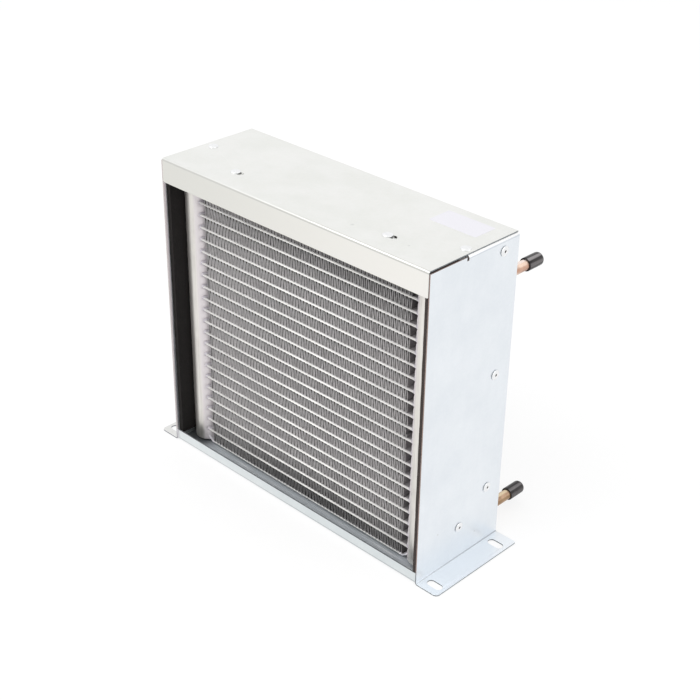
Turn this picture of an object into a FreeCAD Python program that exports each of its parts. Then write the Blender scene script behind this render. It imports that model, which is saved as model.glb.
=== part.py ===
"""Air-cooled refrigeration condenser: a brazed flat-tube coil in a riveted sheet-metal casing.

Units are millimetres. +X runs across the width, +Y from the open coil face to the fan side, +Z up.
The origin is the middle of the four foot slots, on the floor under the feet.
"""
import FreeCAD, Part
import math
import os

V = FreeCAD.Vector

# Sheet metal of the casing
panel_sheet = 1.0
cover_sheet = 1.0
tray_sheet = 1.0
shroud_sheet = 1.0
bracket_sheet = 1.2
bend_radius = 1.0          # inside radius of the folds
cover_bend_radius = 0.6    # the cover's fold is tighter
casing_depth = 90.0        # cover, from the face of its lip to its rear edge
fit_gap = 0.2              # between folded sheets that only lie near each other
fold_overlap = 1.0         # two stretches of one folded sheet, before they are joined
cutter_reach = 1.0         # a cutter passes the face that it opens by this much
same_place = 0.01          # points nearer than this count as one when an edge is looked up
shortest_line = 1e-6       # an outline's line that would be shorter is left out

# Brazed coil
tube_count = 22
tube_height = 1.5
fin_height = 8.64
core_depth = 16.0
coil_setback = 15.55       # from the lip's face to the tube noses
fin_end_gap = 2.1          # from the last fold to the header, on the core's middle line
fin_fold_width = 12.0      # one up-and-down wave, drawn coarser than the real 3.5
fin_sheet = 0.3
fin_recess = 0.4           # fins stand back from the tube noses
header_spacing = 238.4     # between the axes of the two headers
header_radius = 11.4
header_wall = 1.5
header_lift = 2.0          # a header's lower end stands this far above the tray
header_pad_radius = 8.5    # rubber pad inside the header's rim
header_top_rise = 6.0      # above the top fin row
tube_overrun = 3.6         # a tube's end lies this far short of the header axis
braze_gap = 0.04
end_plug_thickness = 2.0
end_plug_inset = 0.6
baffle_thickness = 1.5
baffle_below_inlet = 12    # tubes between the inlet and the baffle
side_plate_sheet = 1.0
side_plate_lift = 1.65     # underside of the lower plate above the tray
side_plate_bend = 1.5
side_plate_climb = 9.0     # rise of a plate's bent end over its run to the header axis
coil_headroom = 13.63      # from the top fin row to the underside of the cover

# Side panels
foot_width = 19.5
foot_front_corner = 3.5
foot_rear_corner = 2.0
foot_slot_length = 13.0
foot_slot_width = 6.5
foot_slot_offset = 10.1    # slot centre outside the panel's outer face
front_slot_inset = 9.2     # slot centre behind the face of the cover's lip
rear_slot_inset = 12.8     # slot centre ahead of the panel's rear edge
panel_front_setback = 0.1  # behind the face of the cover's lip
panel_rear_overhang = 0.4  # past the cover's rear edge
panel_front_drop = 0.8     # open line between the panel's front stretch and the cover
top_flange_width = 17.0
top_flange_start = 38.0    # behind the face of the cover's lip
relief_width = 2.0
relief_depth = 2.5

# Foam linings beside the coil
header_side_gap = 2.4      # from a header to the panel beside it
lining_thickness = 4.0
lining_clearance = 0.3     # to the headers
lining_rear = 29.5         # behind the face of the cover's lip
lining_inset_right = 1.3   # behind the panel's front edge
lining_inset_left = 2.6
lining_top_gap = 0.5

# Top cover
cover_lip = 19.3
cover_lip_corner = 1.2
edge_rivet_inset = 8.5     # rivet inside the panel's outer face
edge_rivet_setback = 43.0
cover_hole_shift = 1.15    # the cover's holes sit this far towards +X
coil_rivet_spacing = 151.6
coil_rivet_setback = 21.6
coil_slot_length = 12.0
coil_slot_width = 4.8
coil_slot_shift = 2.0      # slot centre to the rivet, both along +X
bracket_half_top = 8.6     # half of a coil bracket's upper flange, along X
bracket_foot = 8.6

# Base tray
tray_side_gap = 0.1
tray_front_setback = 1.2   # lip behind the face of the cover's lip
tray_bend_radius = 0.4     # the tray's folds are tighter
tray_lip = 9.0
tray_side_height = 7.0
tray_tab_height = 36.0
tray_tab_width = 16.0
tray_tab_corner = 4.0
tray_rivet_height = 28.1
tray_rivet_setback = 44.9
tray_upstand_end_gap = 1.4  # to the shroud's side flange

# Fan shroud at the rear
shroud_flange = 25.0
shroud_bottom_flange = 18.0
shroud_top_flange = 12.0
shroud_flange_inset = 5.0  # the bottom flange stops short of the side flanges
shroud_top_end_gap = 1.0   # from the top flange to the panels' flanges
fan_opening_radius = 117.0
fan_collar_depth = 8.0
fan_hole_spacing = 200.0
fan_hole_radius = 2.25
pipe_hole_radius = 7.0
shroud_rivet_inset = 15.8  # ahead of the shroud's rear face
shroud_rivet_drop = 9.9    # top rivet under the top of the cover
shroud_rivet_low = 49.1    # lowest rivet above the floor

# Rivets
rivet_shank_radius = 2.0
rivet_head_radius = 3.9
rivet_head_height = 1.3
rivet_rim_height = 0.5     # straight edge of a head
rivet_rim_taper = 0.25
rivet_crown_land = 0.6     # flat ring around a blind rivet's bore
rivet_bore_radius = 1.1
rivet_bore_depth = 1.6
rivet_tail = 2.2
rivet_hole_gap = 0.05

# Refrigerant stubs and their caps
stub_radius = 4.0
stub_wall = 0.8
stub_offset = -0.6         # from the header axis, towards +X
inlet_height = 209.2
outlet_height = 11.3
inlet_reach = 44.8         # past the shroud's rear face
outlet_reach = 46.2
stub_in_header = 1.0       # stub end inside the header's bore
collar_radius = 6.4
collar_length = 6.0
cap_wall = 1.05
cap_running_gap = 0.05
cap_end_wall = 1.1
cap_end_gap = 0.5
cap_depth = 15.5
cap_round = 2.6

# Heights worked out from the coil
coil_bottom = tray_sheet + side_plate_lift + side_plate_sheet
tube_pitch = tube_height + fin_height
coil_top = coil_bottom + tube_count * tube_pitch + fin_height
cover_underside = coil_top + coil_headroom
overall_height = cover_underside + cover_sheet
header_bottom = tray_sheet + header_lift
header_top = coil_top + header_top_rise

# Widths worked out from the coil
header_x = header_spacing / 2
fin_pack_width = header_spacing - 2 * header_radius - 2 * fin_end_gap
panel_inner_x = header_x + header_radius + header_side_gap
panel_outer_x = panel_inner_x + panel_sheet
tray_half_width = panel_inner_x - tray_side_gap
cover_half_width = panel_inner_x - fit_gap

# Depths, with the origin midway between the front and rear foot slots
panel_rear_from_face = casing_depth + panel_rear_overhang
face_y = -(front_slot_inset + panel_rear_from_face - rear_slot_inset) / 2
panel_front_y = face_y + panel_front_setback
tray_front_y = face_y + tray_front_setback
panel_rear_y = face_y + panel_rear_from_face
front_slot_y = face_y + front_slot_inset
rear_slot_y = panel_rear_y - rear_slot_inset
nose_y = face_y + coil_setback
core_rear_y = nose_y + core_depth
coil_y = nose_y + core_depth / 2
shroud_front_y = panel_rear_y - shroud_sheet
shroud_flange_y = panel_rear_y - shroud_flange
outer_bend = bend_radius + panel_sheet


def box(x0, x1, y0, y1, z0, z1):
    """A block between two corners."""
    return Part.makeBox(x1 - x0, y1 - y0, z1 - z0, V(x0, y0, z0))


def rod(centre, direction, radius, length):
    """A cylinder from a centre along a direction."""
    return Part.makeCylinder(radius, length, centre, direction)


def fuse_all(shapes):
    """Join overlapping or touching solids into one, without seams."""
    whole = shapes[0]
    for shape in shapes[1:]:
        whole = whole.fuse(shape)
    return whole.removeSplitter()


def mirrored(shape):
    """The same piece on the other side of the middle plane."""
    return shape.mirror(V(0, 0, 0), V(1, 0, 0))


def rounded_wire(corners, place):
    """A closed outline. Each corner is (u, v) or (u, v, radius); place turns (u, v) into a point."""
    points = [place(corner[0], corner[1]) for corner in corners]
    radii = [corner[2] if len(corner) > 2 else 0.0 for corner in corners]
    count = len(points)
    edges = []
    starts = []
    ends = []
    middles = []
    for i in range(count):
        here = points[i]
        if radii[i] == 0.0:
            starts.append(here)
            ends.append(here)
            middles.append(None)
            continue
        back = (points[i - 1] - here).normalize()
        ahead = (points[(i + 1) % count] - here).normalize()
        half_angle = back.getAngle(ahead) / 2
        reach = radii[i] / math.tan(half_angle)
        bisector = (back + ahead).normalize()
        starts.append(here + back * reach)
        ends.append(here + ahead * reach)
        middles.append(here + bisector * (radii[i] / math.sin(half_angle) - radii[i]))
    for i in range(count):
        if middles[i] is not None:
            edges.append(Part.Arc(starts[i], middles[i], ends[i]).toShape())
        following = starts[(i + 1) % count]
        if (following - ends[i]).Length > shortest_line:
            edges.append(Part.LineSegment(ends[i], following).toShape())
    return Part.Wire(edges)


def extruded_x(corners, x0, x1):
    """An outline in (y, z), extruded across the width."""
    wire = rounded_wire(corners, lambda y, z: V(x0, y, z))
    return Part.Face(wire).extrude(V(x1 - x0, 0, 0))


def extruded_y(corners, y0, y1):
    """An outline in (x, z), extruded along the depth."""
    wire = rounded_wire(corners, lambda x, z: V(x, y0, z))
    return Part.Face(wire).extrude(V(0, y1 - y0, 0))


def extruded_z(corners, z0, z1):
    """An outline in (x, y), extruded upwards."""
    wire = rounded_wire(corners, lambda x, y: V(x, y, z0))
    return Part.Face(wire).extrude(V(0, 0, z1 - z0))


def revolved(corners, centre, axis, radial):
    """An outline in (radius, distance along the axis), turned about that axis."""
    wire = rounded_wire(corners, lambda r, a: centre + radial * r + axis * a)
    return Part.Face(wire).revolve(centre, axis, 360)


def round_ended(low, high, radius, place):
    """A face from low to high along u, with half-round ends of a radius about v = 0."""
    near = [place(low, radius), place(low - radius, 0), place(low, -radius)]
    far = [place(high, -radius), place(high + radius, 0), place(high, radius)]
    edges = [
        Part.Arc(*near).toShape(),
        Part.LineSegment(near[2], far[0]).toShape(),
        Part.Arc(*far).toShape(),
        Part.LineSegment(far[2], near[0]).toShape(),
    ]
    return Part.Face(Part.Wire(edges))


def slot_along_x(x, y, length, width, z0, z1):
    """A cutter with round ends for a slot along X."""
    half = (length - width) / 2
    face = round_ended(x - half, x + half, width / 2, lambda u, v: V(u, y + v, z0))
    return face.extrude(V(0, 0, z1 - z0))


def flat_tube(length, height, depth, z):
    """A flat tube along X with round noses; z is its underside."""
    half = (depth - height) / 2
    middle = z + height / 2
    face = round_ended(coil_y - half, coil_y + half, height / 2,
                       lambda u, v: V(-length / 2, u, middle + v))
    return face.extrude(V(length, 0, 0))


def upright_edges(shape, x, y):
    """The vertical edges of a shape at one place in plan."""
    found = []
    for edge in shape.Edges:
        ends = [vertex.Point for vertex in edge.Vertexes]
        near = [abs(p.x - x) < same_place and abs(p.y - y) < same_place for p in ends]
        if len(ends) == 2 and all(near):
            found.append(edge)
    return found


def side_panel():
    """The panel at +X: a wall with a foot turned out and, behind the notch, a flange turned in."""
    flange_y = face_y + top_flange_start
    inner = panel_inner_x
    outer = panel_outer_x
    foot = outer + foot_width
    front_top = cover_underside - panel_front_drop
    front = extruded_y([
        (inner, 0, outer_bend),
        (foot, 0),
        (foot, panel_sheet),
        (outer, panel_sheet, bend_radius),
        (outer, front_top),
        (inner, front_top),
    ], panel_front_y, flange_y)
    rear = extruded_y([
        (inner, 0, outer_bend),
        (foot, 0),
        (foot, panel_sheet),
        (outer, panel_sheet, bend_radius),
        (outer, cover_underside, outer_bend),
        (outer - top_flange_width, cover_underside),
        (outer - top_flange_width, cover_underside - panel_sheet),
        (inner, cover_underside - panel_sheet, bend_radius),
    ], flange_y, panel_rear_y)
    panel = fuse_all([front, rear])
    panel = panel.makeFillet(foot_front_corner, upright_edges(panel, foot, panel_front_y))
    panel = panel.makeFillet(foot_rear_corner, upright_edges(panel, foot, panel_rear_y))
    slot_x = outer + foot_slot_offset
    for slot_y in (front_slot_y, rear_slot_y):
        panel = panel.cut(slot_along_x(slot_x, slot_y, foot_slot_length, foot_slot_width,
                                       -cutter_reach, panel_sheet + cutter_reach))
    relief = box(inner - cutter_reach, outer + cutter_reach, flange_y - relief_width, flange_y,
                 cover_underside - panel_sheet - relief_depth, overall_height)
    panel = panel.cut(relief)
    for rivet_y, rivet_z in shroud_rivet_places() + [tray_rivet_place()]:
        panel = panel.cut(rivet_hole(V(inner, rivet_y, rivet_z), V(1, 0, 0), panel_sheet))
    return panel


def panel_with_edge_hole(panel, side):
    """A panel with the hole for the rivet that holds the cover's edge."""
    top = V(edge_rivet_x(side), face_y + edge_rivet_setback, cover_underside)
    return panel.cut(rivet_hole(top, V(0, 0, -1), panel_sheet))


def rivet_hole(start, direction, grip):
    """A cutter for a rivet's hole through a grip of sheet that begins at start."""
    return rod(start - direction * cutter_reach, direction, rivet_shank_radius + rivet_hole_gap,
               grip + 2 * cutter_reach)


def shroud_rivet_places():
    """(y, z) of the three rivets from a side panel into the shroud."""
    rivet_y = panel_rear_y - shroud_rivet_inset
    top = overall_height - shroud_rivet_drop
    middle = (top + shroud_rivet_low) / 2
    return [(rivet_y, z) for z in (shroud_rivet_low, middle, top)]


def tray_rivet_place():
    """(y, z) of the rivet from a side panel into the tray's tab."""
    return (face_y + tray_rivet_setback, tray_rivet_height)


def edge_rivet_x(side):
    """Where a rivet holds the cover down on a panel's flange."""
    return side * (panel_outer_x - edge_rivet_inset) + cover_hole_shift


def coil_rivet_x(side):
    """Where a rivet holds a coil bracket under the cover."""
    return side * coil_rivet_spacing / 2 + cover_hole_shift


def top_cover():
    """A flat lid with a lip folded down over the coil face."""
    outside = cover_bend_radius + cover_sheet
    lip_y = face_y + cover_sheet
    lip_z = overall_height - cover_lip
    cover = extruded_x([
        (face_y, lip_z),
        (lip_y, lip_z),
        (lip_y, cover_underside, cover_bend_radius),
        (face_y + casing_depth, cover_underside),
        (face_y + casing_depth, overall_height),
        (face_y, overall_height, outside),
    ], -cover_half_width, cover_half_width)
    lip_corners = []
    for edge in cover.Edges:
        ends = [vertex.Point for vertex in edge.Vertexes]
        level = all(abs(p.z - lip_z) < same_place for p in ends)
        if level and abs(ends[0].y - ends[-1].y) > cover_sheet / 2:
            lip_corners.append(edge)
    cover = cover.makeFillet(cover_lip_corner, lip_corners)
    for side in (-1, 1):
        under_hole = V(edge_rivet_x(side), face_y + edge_rivet_setback, cover_underside)
        slot = slot_along_x(coil_rivet_x(side) + coil_slot_shift, face_y + coil_rivet_setback,
                            coil_slot_length, coil_slot_width,
                            cover_underside - cutter_reach, overall_height + cutter_reach)
        cover = cover.cut(rivet_hole(under_hole, V(0, 0, 1), cover_sheet)).cut(slot)
    return cover


def base_tray():
    """The floor, with a lip in front and upstands and riveted tabs at the sides."""
    outside = tray_bend_radius + tray_sheet
    lip_y = tray_front_y
    rear_y = panel_rear_y
    half = tray_half_width
    upstand_rear = shroud_flange_y - tray_upstand_end_gap
    trough = extruded_y([
        (-half, tray_side_height),
        (-half, 0, outside),
        (half, 0, outside),
        (half, tray_side_height),
        (half - tray_sheet, tray_side_height),
        (half - tray_sheet, tray_sheet, tray_bend_radius),
        (-half + tray_sheet, tray_sheet, tray_bend_radius),
        (-half + tray_sheet, tray_side_height),
    ], lip_y + outside, upstand_rear)
    front = extruded_x([
        (lip_y, tray_lip),
        (lip_y, 0, outside),
        (lip_y + 2 * outside, 0),
        (lip_y + 2 * outside, tray_sheet),
        (lip_y + tray_sheet, tray_sheet, tray_bend_radius),
        (lip_y + tray_sheet, tray_lip),
    ], -half + outside, half - outside)
    lip_ends = [
        box(side_x, side_x + outside, lip_y, lip_y + tray_sheet, tray_sheet, tray_lip)
        for side_x in (-half, half - outside)
    ]
    floor = box(-half, half, upstand_rear, rear_y, 0, tray_sheet)
    tab_y, rivet_z = tray_rivet_place()
    tab_front = tab_y - tray_tab_width / 2
    tab_rear = tab_y + tray_tab_width / 2
    tabs = []
    for tab_x in (-half, half - tray_sheet):
        tabs.append(extruded_x([
            (tab_front, tray_side_height - fold_overlap),
            (tab_rear, tray_side_height - fold_overlap),
            (tab_rear, tray_tab_height, tray_tab_corner),
            (tab_front, tray_tab_height, tray_tab_corner),
        ], tab_x, tab_x + tray_sheet))
    tray = fuse_all([trough, front, floor] + lip_ends + tabs)
    return tray.cut(rivet_hole(V(-half, tab_y, rivet_z), V(1, 0, 0), 2 * half))


def fan_shroud():
    """The rear plate: folded edges, a round opening with a collar, and holes for fan and pipes."""
    outside = bend_radius + shroud_sheet
    inner = panel_inner_x
    top_z = cover_underside - panel_sheet - bend_radius - fit_gap
    low_z = tray_sheet + outside
    tub = extruded_z([
        (-inner, shroud_flange_y),
        (-inner, panel_rear_y, outside),
        (inner, panel_rear_y, outside),
        (inner, shroud_flange_y),
        (inner - shroud_sheet, shroud_flange_y),
        (inner - shroud_sheet, shroud_front_y, bend_radius),
        (-inner + shroud_sheet, shroud_front_y, bend_radius),
        (-inner + shroud_sheet, shroud_flange_y),
    ], low_z, top_z)
    bottom_half = inner - shroud_flange_inset
    bottom = extruded_x([
        (panel_rear_y, tray_sheet, outside),
        (panel_rear_y, low_z + fold_overlap),
        (shroud_front_y, low_z + fold_overlap),
        (shroud_front_y, tray_sheet + shroud_sheet, bend_radius),
        (panel_rear_y - shroud_bottom_flange, tray_sheet + shroud_sheet),
        (panel_rear_y - shroud_bottom_flange, tray_sheet),
    ], -bottom_half, bottom_half)
    top_half = panel_outer_x - top_flange_width - shroud_top_end_gap
    top_rear_y = min(panel_rear_y, face_y + casing_depth)
    top = extruded_x([
        (panel_rear_y, top_z - fold_overlap),
        (panel_rear_y, cover_underside, outside),
        (top_rear_y - shroud_top_flange, cover_underside),
        (top_rear_y - shroud_top_flange, cover_underside - shroud_sheet),
        (shroud_front_y, cover_underside - shroud_sheet, bend_radius),
        (shroud_front_y, top_z - fold_overlap),
    ], -top_half, top_half)
    shroud = fuse_all([tub, bottom, top])
    centre = V(0, shroud_front_y, overall_height / 2)
    rear = V(0, 1, 0)
    hub = fan_opening_radius + outside
    shroud = shroud.cut(through_shroud(0, overall_height / 2, hub))
    collar = revolved([
        (hub, 0),
        (fan_opening_radius + outside / 2, outside / 4),
        (fan_opening_radius, outside),
        (fan_opening_radius, shroud_sheet + fan_collar_depth),
        (fan_opening_radius + shroud_sheet, shroud_sheet + fan_collar_depth),
        (fan_opening_radius + shroud_sheet, shroud_sheet),
        (hub, shroud_sheet),
    ], centre, rear, V(1, 0, 0))
    shroud = shroud.fuse(collar).removeSplitter()
    for x in (-fan_hole_spacing / 2, fan_hole_spacing / 2):
        for z in (-fan_hole_spacing / 2, fan_hole_spacing / 2):
            shroud = shroud.cut(through_shroud(x, overall_height / 2 + z, fan_hole_radius))
    for height in (inlet_height, outlet_height):
        shroud = shroud.cut(through_shroud(header_x + stub_offset, height, pipe_hole_radius))
    for rivet_y, rivet_z in shroud_rivet_places():
        start = V(-inner, rivet_y, rivet_z)
        shroud = shroud.cut(rivet_hole(start, V(1, 0, 0), 2 * inner))
    return shroud


def through_shroud(x, z, radius):
    """A cutter for a round hole through the rear plate."""
    start = V(x, shroud_front_y - cutter_reach, z)
    return rod(start, V(0, 1, 0), radius, shroud_sheet + 2 * cutter_reach)


def side_lining(side, inset):
    """A foam strip on a panel's inner face, pressed in by the header and notched over the lip."""
    x0, x1 = sorted((side * (panel_inner_x - lining_thickness), side * panel_inner_x))
    foam = box(x0, x1, panel_front_y + inset, face_y + lining_rear,
               tray_side_height + fit_gap, cover_underside - lining_top_gap)
    header_room = rod(V(side * header_x, coil_y, 0), V(0, 0, 1),
                      header_radius + lining_clearance, overall_height)
    lip_room = box(x0, x1, panel_front_y, tray_front_y + tray_sheet + fit_gap,
                   0, tray_lip + fit_gap)
    return foam.cut(header_room).cut(lip_room)


def tube_undersides():
    """The height of each flat tube's underside."""
    return [coil_bottom + fin_height + n * tube_pitch for n in range(tube_count)]


def flat_tubes():
    """All the flat tubes, from header bore to header bore."""
    length = 2 * (header_x - tube_overrun)
    return [flat_tube(length, tube_height, core_depth, z) for z in tube_undersides()]


def fin_strip(z):
    """One folded fin: a zigzag strip whose crests touch the tubes above and below."""
    legs = 2 * max(1, round(fin_pack_width / fin_fold_width))
    step = fin_pack_width / legs
    slope = fin_height / step
    thick = fin_sheet * math.hypot(1, slope)
    upper = []
    lower = []
    for i in range(legs + 1):
        x = -fin_pack_width / 2 + i * step
        rise = (fin_height - thick) * (i % 2)
        lower.append((x, z + rise))
        upper.append((x, z + rise + thick))
    return extruded_y(lower + upper[::-1], nose_y + fin_recess, core_rear_y - fin_recess)


def fins():
    """A fin in each space between two tubes and beside each side plate."""
    return [fin_strip(coil_bottom + n * tube_pitch) for n in range(tube_count + 1)]


def header(side, stub_heights):
    """A round header with a slot for each tube, and a hole for each stub at its rear."""
    axis = V(side * header_x, coil_y, header_bottom)
    height = header_top - header_bottom
    tube = rod(axis, V(0, 0, 1), header_radius, height)
    tube = tube.cut(rod(axis, V(0, 0, 1), header_radius - header_wall, height))
    length = 2 * (header_x - tube_overrun)
    cutters = [
        flat_tube(length, tube_height + 2 * braze_gap, core_depth + 2 * braze_gap, z - braze_gap)
        for z in tube_undersides()
    ]
    for stub_z in stub_heights:
        start = V(side * (header_x + stub_offset), coil_y, stub_z)
        cutters.append(rod(start, V(0, 1, 0), stub_radius + braze_gap, 2 * header_radius))
    return tube.cut(Part.Compound(cutters))


def header_plugs():
    """Round plugs that close both ends of both headers."""
    radius = header_radius - header_wall - braze_gap
    plugs = []
    for side in (-1, 1):
        for z in (header_bottom + end_plug_inset, header_top - end_plug_inset - end_plug_thickness):
            plugs.append(rod(V(side * header_x, coil_y, z), V(0, 0, 1), radius, end_plug_thickness))
    return plugs


def header_baffle():
    """The disc that splits the header with both stubs into two passes."""
    radius = header_radius - header_wall - braze_gap
    z = tube_undersides()[tube_count - baffle_below_inlet] - fin_height / 2 - baffle_thickness / 2
    return rod(V(header_x, coil_y, z), V(0, 0, 1), radius, baffle_thickness)


def header_pads():
    """Rubber pads between the tray and the plugs in the headers' lower ends."""
    height = header_lift + end_plug_inset
    return [rod(V(side * header_x, coil_y, tray_sheet), V(0, 0, 1), header_pad_radius, height)
            for side in (-1, 1)]


def coil_side_plate(z, climb):
    """A strip along the outer fin, its ends bent towards the tubes and brazed to the headers."""
    bend_x = fin_pack_width / 2 + fit_gap
    top = z + side_plate_sheet
    wide = side_plate_bend + side_plate_sheet
    low_bend, top_bend = (wide, side_plate_bend) if climb > 0 else (side_plate_bend, wide)
    plate = extruded_y([
        (-header_x, z + climb),
        (-bend_x, z, low_bend),
        (bend_x, z, low_bend),
        (header_x, z + climb),
        (header_x, top + climb),
        (bend_x, top, top_bend),
        (-bend_x, top, top_bend),
        (-header_x, top + climb),
    ], nose_y, core_rear_y)
    for side in (-1, 1):
        plate = plate.cut(rod(V(side * header_x, coil_y, 0), V(0, 0, 1),
                              header_radius + braze_gap, overall_height))
    return plate


def coil_bracket(side):
    """A Z bracket from the top side plate up to the cover, where a rivet clamps it."""
    rivet_x = coil_rivet_x(side)
    half_depth = core_depth / 2 - side_plate_sheet - fit_gap
    low = coil_top + side_plate_sheet
    riser_x = rivet_x + bracket_half_top
    corners = [
        (rivet_x - bracket_half_top, cover_underside),
        (riser_x, cover_underside, bend_radius + bracket_sheet),
        (riser_x, low + bracket_sheet, bend_radius),
        (riser_x + bracket_foot, low + bracket_sheet),
        (riser_x + bracket_foot, low),
        (riser_x - bracket_sheet, low, bend_radius + bracket_sheet),
        (riser_x - bracket_sheet, cover_underside - bracket_sheet, bend_radius),
        (rivet_x - bracket_half_top, cover_underside - bracket_sheet),
    ]
    bracket = extruded_y(corners, coil_y - half_depth, coil_y + half_depth)
    top = V(rivet_x, face_y + coil_rivet_setback, cover_underside)
    return bracket.cut(rivet_hole(top, V(0, 0, -1), bracket_sheet))


def blind_rivet(place, outward, radial, grip):
    """A set blind rivet; place is under its head, and the bore is where its pin broke off."""
    return revolved([
        (0, -grip - rivet_tail),
        (rivet_shank_radius, -grip - rivet_tail),
        (rivet_shank_radius, 0),
        (rivet_head_radius, 0),
        (rivet_head_radius - rivet_rim_taper, rivet_rim_height),
        (rivet_bore_radius + rivet_crown_land, rivet_head_height),
        (rivet_bore_radius, rivet_head_height),
        (rivet_bore_radius, rivet_head_height - rivet_bore_depth),
        (0, rivet_head_height - rivet_bore_depth),
    ], place, outward, radial)


def dome_rivet(place, grip):
    """A rivet with a closed dome, set downwards into the cover."""
    return revolved([
        (0, -grip - rivet_tail),
        (rivet_shank_radius, -grip - rivet_tail),
        (rivet_shank_radius, 0),
        (rivet_head_radius, 0),
        (rivet_head_radius - rivet_rim_taper, rivet_rim_height),
        (rivet_head_radius / 2, rivet_head_height),
        (0, rivet_head_height),
    ], place, V(0, 0, 1), V(1, 0, 0))


def side_rivets(side):
    """The four rivets in one side panel."""
    places = [(y, z, shroud_sheet) for y, z in shroud_rivet_places()]
    places.append((*tray_rivet_place(), tray_sheet + tray_side_gap))
    rivets = []
    for y, z, behind in places:
        place = V(side * panel_outer_x, y, z)
        rivets.append(blind_rivet(place, V(side, 0, 0), V(0, 1, 0), panel_sheet + behind))
    return rivets


def cover_rivets():
    """The rivets at the cover's side edges, into the panels' flanges."""
    y = face_y + edge_rivet_setback
    grip = cover_sheet + panel_sheet
    return [dome_rivet(V(edge_rivet_x(side), y, overall_height), grip) for side in (-1, 1)]


def coil_rivets():
    """The rivets in the cover's slots, into the coil brackets."""
    y = face_y + coil_rivet_setback
    grip = cover_sheet + bracket_sheet
    return [dome_rivet(V(coil_rivet_x(side), y, overall_height), grip) for side in (-1, 1)]


def stub_start_y():
    """Where a stub begins, just inside the header's bore."""
    return coil_y + header_radius - header_wall - stub_in_header


def stub(height, reach):
    """A straight copper stub from the header to behind the shroud."""
    start = V(header_x + stub_offset, stub_start_y(), height)
    length = panel_rear_y + reach - start.y
    pipe = rod(start, V(0, 1, 0), stub_radius, length)
    return pipe.cut(rod(start, V(0, 1, 0), stub_radius - stub_wall, length))


def stub_collar(height):
    """The collar brazed around a stub, saddled on the header."""
    start = V(header_x + stub_offset, coil_y, height)
    collar = rod(start, V(0, 1, 0), collar_radius, header_radius + collar_length)
    bore = rod(start, V(0, 1, 0), stub_radius + braze_gap, header_radius + collar_length)
    post = rod(V(header_x, coil_y, height - 2 * collar_radius), V(0, 0, 1),
               header_radius + braze_gap, 4 * collar_radius)
    return collar.cut(bore).cut(post)


def pipe_cap(height, reach):
    """A push-on cap over a stub's end, with a round closed end."""
    inner = stub_radius + cap_running_gap
    outer = inner + cap_wall
    end = V(header_x + stub_offset, panel_rear_y + reach, height)
    return revolved([
        (inner, cap_end_gap - cap_depth),
        (outer, cap_end_gap - cap_depth),
        (outer, cap_end_gap + cap_end_wall, cap_round),
        (0, cap_end_gap + cap_end_wall),
        (0, cap_end_gap),
        (inner, cap_end_gap),
    ], end, V(0, 1, 0), V(1, 0, 0))


def write(node, solids):
    """Write a node's solids to its own STEP file."""
    shape = solids if isinstance(solids, Part.Shape) else Part.Compound(solids)
    shape.exportStep("parts/" + node + ".step")


os.makedirs("parts", exist_ok=True)
panel_right = side_panel()
write("side_panel_right", panel_with_edge_hole(panel_right, 1))
write("side_panel_left", panel_with_edge_hole(mirrored(panel_right), -1))
write("top_cover", top_cover())
write("base_tray", base_tray())
write("fan_shroud", fan_shroud())
write("side_lining_right", side_lining(1, lining_inset_right))
write("side_lining_left", side_lining(-1, lining_inset_left))
write("flat_tubes", flat_tubes())
write("fins", fins())
write("header_right", header(1, (inlet_height, outlet_height)))
write("header_left", header(-1, ()))
write("header_plugs", header_plugs())
write("header_baffle", header_baffle())
write("header_pads", header_pads())
write("coil_side_plate_bottom",
      coil_side_plate(coil_bottom - side_plate_sheet, side_plate_climb))
write("coil_side_plate_top", coil_side_plate(coil_top, -side_plate_climb))
write("coil_bracket_right", coil_bracket(1))
write("coil_bracket_left", coil_bracket(-1))
write("side_rivets_right", side_rivets(1))
write("side_rivets_left", side_rivets(-1))
write("cover_rivets", cover_rivets())
write("coil_rivets", coil_rivets())
write("inlet_stub", stub(inlet_height, inlet_reach))
write("outlet_stub", stub(outlet_height, outlet_reach))
write("stub_collars", [stub_collar(inlet_height), stub_collar(outlet_height)])
write("pipe_cap_inlet", pipe_cap(inlet_height, inlet_reach))
write("pipe_cap_outlet", pipe_cap(outlet_height, outlet_reach))
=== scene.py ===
"""Looks of a small air-cooled refrigeration condenser: sheet casing, brazed coil, copper stubs and caps.

Lengths are in millimetres and go through MM to metres, in the frame of the solids: +X across the width,
+Y from the open coil face to the fan side, +Z up, with the origin between the four foot slots.
"""
import math

import bmesh
import bpy
from mathutils import Matrix, Vector, noise
from mathutils.bvhtree import BVHTree


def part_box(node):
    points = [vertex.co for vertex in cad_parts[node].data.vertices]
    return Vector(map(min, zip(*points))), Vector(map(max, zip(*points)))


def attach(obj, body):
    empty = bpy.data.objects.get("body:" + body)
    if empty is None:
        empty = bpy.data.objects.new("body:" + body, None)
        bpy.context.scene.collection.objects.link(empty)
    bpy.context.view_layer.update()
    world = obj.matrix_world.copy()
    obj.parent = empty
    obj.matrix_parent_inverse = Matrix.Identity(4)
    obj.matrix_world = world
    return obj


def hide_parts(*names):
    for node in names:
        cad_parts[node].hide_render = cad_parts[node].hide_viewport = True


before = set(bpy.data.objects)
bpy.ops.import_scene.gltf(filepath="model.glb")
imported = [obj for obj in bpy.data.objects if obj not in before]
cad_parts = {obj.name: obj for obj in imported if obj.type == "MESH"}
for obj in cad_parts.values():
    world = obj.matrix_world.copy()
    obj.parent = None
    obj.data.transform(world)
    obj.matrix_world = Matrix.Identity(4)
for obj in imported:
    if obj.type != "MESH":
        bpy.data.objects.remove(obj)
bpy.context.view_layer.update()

MM = 0.001
CASING = "condenser"
INLET_CAP = "inlet_cap"
OUTLET_CAP = "outlet_cap"

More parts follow.
